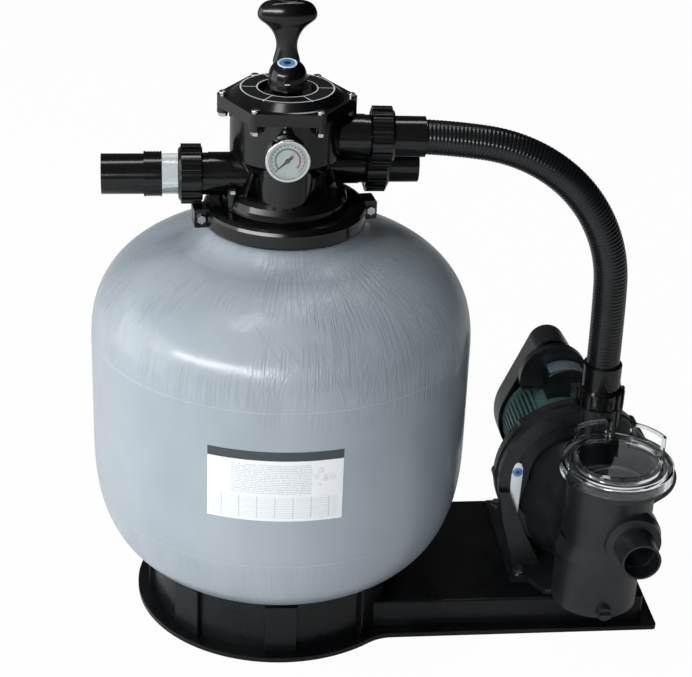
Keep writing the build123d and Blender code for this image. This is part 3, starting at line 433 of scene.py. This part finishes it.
# flat white ink, pad printed on the pointer
dashPaint = plainSurface("padPrintedWhite", "d9dcde", "e6e8ea", 0.4, 0.8, 0.05)
# blue-grey sheet, etched and anodised, satin and mottled
plateFinish = plainSurface("anodisedAluminium", "52636f", "7d8d98", 0.34, 0.6, 0.05, 8, metallic=0.25)
for row in frame["record"]["subparts"]:
    for materialSlot in nodes[row["node"]].material_slots:
        materialSlot.material = slotFinishes[row["material_slot"]]


# The line goes level out of the valve's tailpiece, over in one arch and straight down into the pump's cuff.
# Sizes are in metres, and fineness is the number of points that each stretch of the smooth line is given.
hose = {
    "points": ((0.00103, -0.00837, 0.7065), (0.05296, -0.0111, 0.7065), (0.15625, -0.0226, 0.695),
               (0.24125, -0.0306, 0.64), (0.29075, -0.0356, 0.551), (0.29525, -0.036, 0.448),
               (0.29525, -0.036, 0.3485)),
    "diameter": 0.047, "length": 0.5575, "ribPitch": 0.0052, "ribDepth": 0.0005, "ribSharpness": 1.5,
    "stepsPerRib": 6, "around": 48, "fineness": 60,
}


def hoseLine(points, fineness):  # points close together along the smooth line
    data = bpy.data.curves.new("hoseLine", "CURVE")
    data.dimensions, data.resolution_u = "3D", fineness
    spline = data.splines.new("NURBS")
    spline.points.add(len(points) - 1)
    for point, place in zip(spline.points, points):
        point.co = (*place, 1)
    spline.order_u, spline.use_endpoint_u = 3, True
    guide = bpy.data.objects.new("hoseLine", data)
    bpy.context.scene.collection.objects.link(guide)
    mesh = bpy.data.meshes.new_from_object(guide)
    line = [vertex.co.copy() for vertex in mesh.vertices]
    bpy.data.objects.remove(guide)
    bpy.data.meshes.remove(mesh)
    return line


def evenPoints(line, step):  # the same line at an even spacing
    lengths = [0]
    for here, there in zip(line, line[1:]):
        lengths.append(lengths[-1] + (there - here).length)
    count = round(lengths[-1] / step)
    even, index = [], 0
    for number in range(count + 1):
        at = lengths[-1] * number / count
        while index < len(line) - 2 and lengths[index + 1] < at:
            index += 1
        share = (at - lengths[index]) / (lengths[index + 1] - lengths[index])
        even.append(line[index].lerp(line[index + 1], share))
    return even


def makeHose(facts):
    line = evenPoints(hoseLine(facts["points"], facts["fineness"]), facts["ribPitch"] / facts["stepsPerRib"])
    around, vertices, faces = facts["around"], [], []
    side = Vector((0, 1, 0))
    for number, place in enumerate(line):
        ahead = (line[min(number + 1, len(line) - 1)] - line[max(number - 1, 0)]).normalized()
        side = (side - ahead * side.dot(ahead)).normalized()
        other = ahead.cross(side)
        for spoke in range(around):
            turn = spoke / around
            groove = 0.5 + 0.5 * cos(2 * pi * (number / facts["stepsPerRib"] - turn))      # the ribs are one helix
            radius = facts["diameter"] / 2 - facts["ribDepth"] * groove ** facts["ribSharpness"]
            vertices.append(place + radius * (cos(2 * pi * turn) * side + sin(2 * pi * turn) * other))
    for number in range(len(line) - 1):
        for spoke in range(around):
            first, second = number * around + spoke, number * around + (spoke + 1) % around
            faces.append((first, second, second + around, first + around))
    faces.append(tuple(reversed(range(around))))
    faces.append(tuple(range((len(line) - 1) * around, len(line) * around)))
    mesh = bpy.data.meshes.new("ribbedHose")
    mesh.from_pydata(vertices, [], faces)
    mesh.polygons.foreach_set("use_smooth", [True] * len(mesh.polygons))
    mesh.materials.append(slotFinishes["hose_plastic"])
    piece = bpy.data.objects.new("ribbedHose", mesh)
    bpy.context.scene.collection.objects.link(piece)
    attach(piece, "root")
    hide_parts("hose")


makeHose(hose)
print("hose made")


tankAxis = Matrix.Translation((tankX, 0, 0))
mergeReach = 0.01 * mm      # vertices closer than this are one


def clearSelection():
    if bpy.context.mode != "OBJECT":
        bpy.ops.object.mode_set(mode="OBJECT")
    bpy.ops.object.select_all(action="DESELECT")


def openForEdit():  # edit mode on the active piece, with all of it selected
    bpy.ops.object.mode_set(mode="EDIT")
    bpy.ops.mesh.select_all(action="SELECT")


def turnPiece(profile, segments):  # extrudes and resizes a circle along (radius, height) pairs in millimetres
    clearSelection()
    radius, height = profile[0]
    bpy.ops.mesh.primitive_circle_add(vertices=segments, radius=radius * mm, location=(0, 0, 0))
    piece = bpy.context.object
    openForEdit()
    bpy.ops.transform.translate(value=(0, 0, height * mm))
    for (before, low), (after, high) in zip(profile, profile[1:]):
        bpy.ops.mesh.extrude_edges_move(TRANSFORM_OT_translate={"value": (0, 0, (high - low) * mm)})
        share = after / before
        bpy.ops.transform.resize(value=(share, share, 1), center_override=(0, 0, high * mm))
    bpy.ops.mesh.select_all(action="SELECT")
    bpy.ops.mesh.remove_doubles(threshold=mergeReach)
    bpy.ops.mesh.normals_make_consistent(inside=False)
    bpy.ops.object.mode_set(mode="OBJECT")
    return piece


def addBlock(middle, size):  # a cube of this size in metres, its scale applied
    clearSelection()
    bpy.ops.mesh.primitive_cube_add(size=1, location=middle)
    piece = bpy.context.object
    piece.scale = size
    bpy.ops.object.transform_apply(location=True, rotation=True, scale=True)
    return piece


def setPiece(piece, name, body, slotName, finish=None, place=None, smoothAngle=35):
    clearSelection()
    piece.select_set(True)
    bpy.context.view_layer.objects.active = piece
    if place is not None:
        piece.matrix_world = place @ piece.matrix_world
    bpy.ops.object.transform_apply(location=True, rotation=True, scale=True)
    bpy.ops.object.shade_smooth_by_angle(angle=radians(smoothAngle))
    piece.name = piece.data.name = name
    piece.data.materials.clear()
    piece.data.materials.append(finish or slotFinishes[slotName])
    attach(piece, body)


# A fillet of the tank's own resin, where the dome runs up under the clamp.
neckFillet = {
    "profile": ((92, 583.5), (101, 583.3), (106, 580), (111, 574.5), (117, 569), (124, 564.6), (132, 561.0),
                (140, 558.3), (150, 555.05)),
    "segments": 96,
}


def makeNeckFillet(facts):
    piece = turnPiece(facts["profile"], facts["segments"])
    setPiece(piece, "neckFillet", "root", "tank_grp", place=tankAxis, smoothAngle=60)


# A smooth moulded shroud round the hub, from its skirt over the dome.
hubShroud = {
    "profile": ((22, 773.3), (26.3, 773.3), (26.1, 775), (25.6, 777.5), (25.4, 781), (25.4, 785), (25.3, 788),
                (24.9, 791), (24.2, 794), (23.1, 797), (21.5, 800), (19.3, 802.8), (16.4, 805.2), (12.8, 807),
                (8.5, 808), (4, 808.3), (0.05, 808.4)),
    "segments": 72,
}


def makeHubShroud(facts):
    piece = turnPiece(facts["profile"], facts["segments"])
    setPiece(piece, "hubShroud", "valve_handle", "valve_plastic", place=tankAxis, smoothAngle=60)


# The handle's spring, made as a coil at its rest length; it does not shorten as the handle is pressed.
handleSpring = {
    "low": 768.5, "high": 782.3, "coil": 15.5, "wire": 1.0, "turns": 3, "wireSides": 12, "stepsPerTurn": 32,
    "seat": 767.5, "pressed": 0.66,
}


def makeHandleSpring(facts):
    clearSelection()
    bpy.ops.mesh.primitive_circle_add(vertices=facts["wireSides"], radius=facts["wire"] * mm,
                                      location=(facts["coil"] * mm, 0, 0), rotation=(pi / 2, 0, 0))
    piece = bpy.context.object
    bpy.ops.object.transform_apply(location=True, rotation=True, scale=True)
    modifier = piece.modifiers.new("coils", "SCREW")
    modifier.screw_offset = (facts["high"] - facts["low"]) / facts["turns"] * mm
    modifier.iterations = facts["turns"]
    modifier.steps = modifier.render_steps = facts["stepsPerTurn"]
    bpy.ops.object.modifier_apply(modifier="coils")
    openForEdit()
    bpy.ops.mesh.fill_holes(sides=0)
    bpy.ops.mesh.normals_make_consistent(inside=False)
    bpy.ops.object.mode_set(mode="OBJECT")
    place = Matrix.Translation((tankX, 0, facts["low"] * mm))
    setPiece(piece, "handleSpring", "valve_rotor", "fastener_steel", place=place, smoothAngle=60)
    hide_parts("valve_spring")
    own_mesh(piece)


# An oval badge on the front of the handle's hub, tilted towards the user, on a short skirt. Its profile is
# turned at a radius of one, and then made wide and deep in millimetres.
handleBadge = {
    "wide": 13.2, "deep": 9.0, "tilt": 26, "place": (tankX - 1.6 * mm, -11.0 * mm, 808.6 * mm),
    "profile": ((0.05, -5.0), (0.93, -5.0), (1.0, -1.6), (1.0, -0.5), (0.96, 0), (0.87, 0), (0.84, -0.5),
                (0.05, -0.5)),
    "segments": 48, "spot": 7.4, "printDepth": 1.2,
}


def makeHandleBadge(facts):
    piece = turnPiece(facts["profile"], facts["segments"])
    shape = Matrix.Diagonal((facts["wide"], facts["deep"], 1, 1))
    turned = Matrix.Translation(facts["place"]) @ Matrix.Rotation(radians(facts["tilt"]), 4, "X") @ shape
    facing = turned.to_3x3() @ Vector((0, 0, 1))
    top = Vector(facts["place"]).dot(facing) - facts["printDepth"] * mm
    finish = domedBadge("printedResinBadge", facts["place"], facts["spot"] * mm, top, tuple(facing),
                        facts["deep"] / facts["wide"])
    setPiece(piece, "handleBadge", "valve_handle", "valve_plastic", finish, turned, 40)


# A raised pointer down the front of the hub, with a white dash low on it.
pointerTab = {
    "middle": tankX - 2.3 * mm, "wide": 8.4, "low": 774.5, "high": 794, "front": -26.8, "deep": 4.5,
    "lean": 1.6, "bevel": 0.9,
}
pointerDash = {"level": 783.5, "thick": 1.5, "wide": 6.8, "deep": 1.0, "proud": 0.3, "bevel": 0.3}


def makePointer(tab, dash):
    height = tab["high"] - tab["low"]
    middle = (tab["middle"], (tab["front"] + tab["deep"] / 2) * mm, (tab["low"] + height / 2) * mm)
    piece = addBlock(middle, (tab["wide"] * mm, tab["deep"] * mm, height * mm))
    bpy.ops.object.mode_set(mode="EDIT")
    bpy.ops.mesh.select_all(action="DESELECT")
    bpy.ops.object.mode_set(mode="OBJECT")
    for vertex in piece.data.vertices:
        vertex.select = vertex.co.z > (tab["high"] - 1) * mm and vertex.co.y < (tab["front"] + 1) * mm
    bpy.ops.object.mode_set(mode="EDIT")
    bpy.ops.transform.translate(value=(0, tab["lean"] * mm, 0))      # the top leans back with the dome
    bpy.ops.mesh.select_all(action="SELECT")
    bpy.ops.mesh.bevel(offset=tab["bevel"] * mm, segments=3, affect="EDGES")
    bpy.ops.object.mode_set(mode="OBJECT")
    setPiece(piece, "pointerTab", "valve_handle", "valve_plastic")
    middle = (tab["middle"], (tab["front"] - dash["proud"] + dash["deep"] / 2) * mm, dash["level"] * mm)
    piece = addBlock(middle, (dash["wide"] * mm, dash["deep"] * mm, dash["thick"] * mm))
    openForEdit()
    bpy.ops.mesh.bevel(offset=dash["bevel"] * mm, segments=2, affect="EDGES")
    bpy.ops.object.mode_set(mode="OBJECT")
    setPiece(piece, "pointerDash", "valve_handle", "label", dashPaint)


# A leaf-shaped pad on the left of the pump's front ring, with a printed badge on it. Its outline is in
# millimetres from the pump's axis.
pumpBadge = {
    "outline": ((-87, 30.3), (-82.5, 28), (-79.6, 21), (-79.4, 8), (-80, -5), (-80.6, -18), (-81, -31),
                (-81.3, -44), (-81.9, -56), (-85.3, -51), (-89.6, -41.6), (-93, -31), (-95.3, -19.4), (-96.2, -5),
                (-95.8, 9.9), (-94.4, 19), (-92.2, 26), (-90, 29.2)),
    "front": -55.9, "back": -45.6, "bevel": 0.5, "spotPlace": (-87.3, 14.5), "spot": 7.6, "printDepth": 0.6,
}


def makePumpBadge(facts):
    clearSelection()
    bpy.ops.mesh.primitive_circle_add(vertices=len(facts["outline"]), radius=1, fill_type="NGON")
    piece = bpy.context.object
    for vertex, (x, z) in zip(piece.data.vertices, facts["outline"]):
        vertex.co = (pumpX + x * mm, facts["front"] * mm, pumpZ + z * mm)
    openForEdit()
    thick = (facts["back"] - facts["front"]) * mm
    bpy.ops.mesh.extrude_region_move(TRANSFORM_OT_translate={"value": (0, thick, 0)})
    bpy.ops.mesh.select_all(action="SELECT")
    bpy.ops.mesh.normals_make_consistent(inside=False)
    bpy.ops.object.mode_set(mode="OBJECT")
    for edge in piece.data.edges:  # the rim of the front face
        ends = [piece.data.vertices[i].co.y for i in edge.vertices]
        edge.select = max(ends) < (facts["front"] + 1) * mm
    bpy.ops.object.mode_set(mode="EDIT")
    bpy.ops.mesh.bevel(offset=facts["bevel"] * mm, segments=2, affect="EDGES")
    bpy.ops.object.mode_set(mode="OBJECT")
    x, z = facts["spotPlace"]
    middle = (pumpX + x * mm, facts["front"] * mm, pumpZ + z * mm)
    top = -(facts["front"] + facts["printDepth"]) * mm
    finish = domedBadge("printedPumpBadge", middle, facts["spot"] * mm, top, (0, -1, 0))
    setPiece(piece, "pumpBadge", "root", "pump_plastic", finish, smoothAngle=30)


# A thin rating plate, left bare, that follows the arch of the terminal box.
boxPlate = {
    "x": (408, 458), "y": (77, 106), "axis": (434, 255), "radius": 53.2, "thick": 0.7, "cells": (24, 6),
}


def makeBoxPlate(facts):
    clearSelection()
    bpy.ops.mesh.primitive_grid_add(x_subdivisions=facts["cells"][0], y_subdivisions=facts["cells"][1], size=1)
    piece = bpy.context.object
    (left, right), (front, back), (axisX, axisZ) = facts["x"], facts["y"], facts["axis"]
    for vertex in piece.data.vertices:
        x = left + (vertex.co.x + 0.5) * (right - left)
        y = front + (vertex.co.y + 0.5) * (back - front)
        z = axisZ + (facts["radius"] ** 2 - (x - axisX) ** 2) ** 0.5
        vertex.co = (tankX + x * mm, y * mm, z * mm)
    modifier = piece.modifiers.new("thickness", "SOLIDIFY")
    modifier.thickness, modifier.offset = facts["thick"] * mm, 1
    bpy.ops.object.modifier_apply(modifier="thickness")
    setPiece(piece, "boxPlate", "root", "motor_steel", plateFinish)


# A sprung steel clip that holds the terminal box's cover. Its line is (y, z) in millimetres.
boxClip = {
    "x": 443.5, "wide": 6.5, "thick": 1.3,
    "line": ((78, 288), (73.2, 286), (71.6, 282), (71.2, 266), (71.6, 254), (75.5, 251.5), (80, 252.5)),
}


def makeBoxClip(facts):
    clearSelection()
    bpy.ops.mesh.primitive_plane_add(size=1)
    piece = bpy.context.object
    (startY, startZ), half = facts["line"][0], facts["wide"] / 2
    bpy.ops.object.mode_set(mode="EDIT")
    bpy.ops.mesh.delete(type="ONLY_FACE")
    bpy.ops.object.mode_set(mode="OBJECT")
    for vertex in piece.data.vertices:  # the four corners become the two ends of one edge
        x = facts["x"] + (half if vertex.co.x > 0 else -half)
        vertex.co = (tankX + x * mm, startY * mm, startZ * mm)
    openForEdit()
    bpy.ops.mesh.remove_doubles(threshold=mergeReach)
    for (y, z), (nextY, nextZ) in zip(facts["line"], facts["line"][1:]):
        step = (0, (nextY - y) * mm, (nextZ - z) * mm)
        bpy.ops.mesh.extrude_edges_move(TRANSFORM_OT_translate={"value": step})
    bpy.ops.object.mode_set(mode="OBJECT")
    modifier = piece.modifiers.new("thickness", "SOLIDIFY")
    modifier.thickness, modifier.offset = facts["thick"] * mm, 0
    bpy.ops.object.modifier_apply(modifier="thickness")
    setPiece(piece, "boxClip", "root", "fastener_steel", smoothAngle=40)


makeNeckFillet(neckFillet)
makeHubShroud(hubShroud)
makeHandleSpring(handleSpring)
makeHandleBadge(handleBadge)
makePointer(pointerTab, pointerDash)
makePumpBadge(pumpBadge)
makeBoxPlate(boxPlate)
makeBoxClip(boxClip)
print("small pieces made")


# The room is bright on the left and dim on the right, and darker behind for what mirrors it.
studio = {
    "fillLeft": 0.45, "fillRight": 0.015, "fillReach": (-0.7, 0.7),
    "mirrorFront": 0.75, "mirrorBack": 0.32, "mirrorReach": (-0.3, 0.5),
    "floorSize": 16.0, "floorPlace": (0, 3, 0), "floor": "f2f3f4", "floorGlow": 0.975,
}
lamps = {  # place, width and height, power, towards
    "frontStrip": ((-2.3, -2.75, 1.66), (4.3, 0.4), 102, (tankX, 0, 0.4)),
    "leftPanel": ((-3.2, 0.1, 0.9), (2.6, 2.0), 34, (tankX, 0, 0.4)),
    "topStrip": ((-0.2, 0.2, 3.0), (2.6, 0.32), 20, (0, 0, 0.4)),
}


def seenDirectly(tree):  # the light path, and 1 for what the camera sees, also through the clear pieces
    rays = addNode(tree, "LightPath").node.outputs
    return rays, addNode(tree, "Math", rays["Is Camera Ray"], rays["Is Transmission Ray"], operation="MAXIMUM")


def addRoom():
    world = bpy.data.worlds.new("studioWorld")
    bpy.context.scene.world = world
    world.use_nodes = True
    tree = world.node_tree
    rays, seen = seenDirectly(tree)
    towards = addNode(tree, "SeparateXYZ", addNode(tree, "TexCoord", out="Generated")).node.outputs
    fill = addNode(tree, "MapRange", towards["X"], *studio["fillReach"], studio["fillLeft"], studio["fillRight"],
                   interpolation_type="SMOOTHSTEP")
    mirror = addNode(tree, "MapRange", towards["Y"], *studio["mirrorReach"], studio["mirrorFront"] - 1,
                     studio["mirrorBack"] - 1)
    mirror = addNode(tree, "Math", rays["Is Glossy Ray"], mirror, 1.0, operation="MULTIPLY_ADD")
    fill = addNode(tree, "Math", fill, mirror, operation="MULTIPLY")
    strength = addNode(tree, "Math", seen, fill, operation="MAXIMUM")
    tree.links.new(strength, tree.nodes["Background"].inputs["Strength"])
    tree.nodes["Background"].inputs["Color"].default_value = (1, 1, 1, 1)


def addFloor():
    clearSelection()
    bpy.ops.mesh.primitive_plane_add(size=studio["floorSize"], location=studio["floorPlace"])
    floor = bpy.context.object
    floor.name = "studioFloor"
    material, tree, shader = newMaterial("paleFloor", Roughness=0.9, Specular_IOR_Level=0.1)
    shader.inputs["Base Color"].default_value = linearColor(studio["floor"])
    share = addNode(tree, "Math", seenDirectly(tree)[1], studio["floorGlow"], operation="MULTIPLY")
    glow = addNode(tree, "Emission", (1, 1, 1, 1), 1.0)
    mixed = addNode(tree, "MixShader", share, shader.outputs[0], glow)
    tree.links.new(mixed, tree.nodes["Material Output"].inputs["Surface"])
    floor.data.materials.append(material)


def addLamps():
    for name, (place, (width, height), power, towards) in lamps.items():
        data = bpy.data.lights.new(name, "AREA")
        data.shape, data.energy, data.size, data.size_y = "RECTANGLE", power, width, height
        lamp = bpy.data.objects.new(name, data)
        bpy.context.scene.collection.objects.link(lamp)
        lamp.location = place
        lamp.rotation_euler = (Vector(towards) - Vector(place)).to_track_quat("-Z", "Y").to_euler()


addRoom()
addFloor()
addLamps()
bpy.context.scene.view_settings.view_transform = "Standard"
print("studio ready")
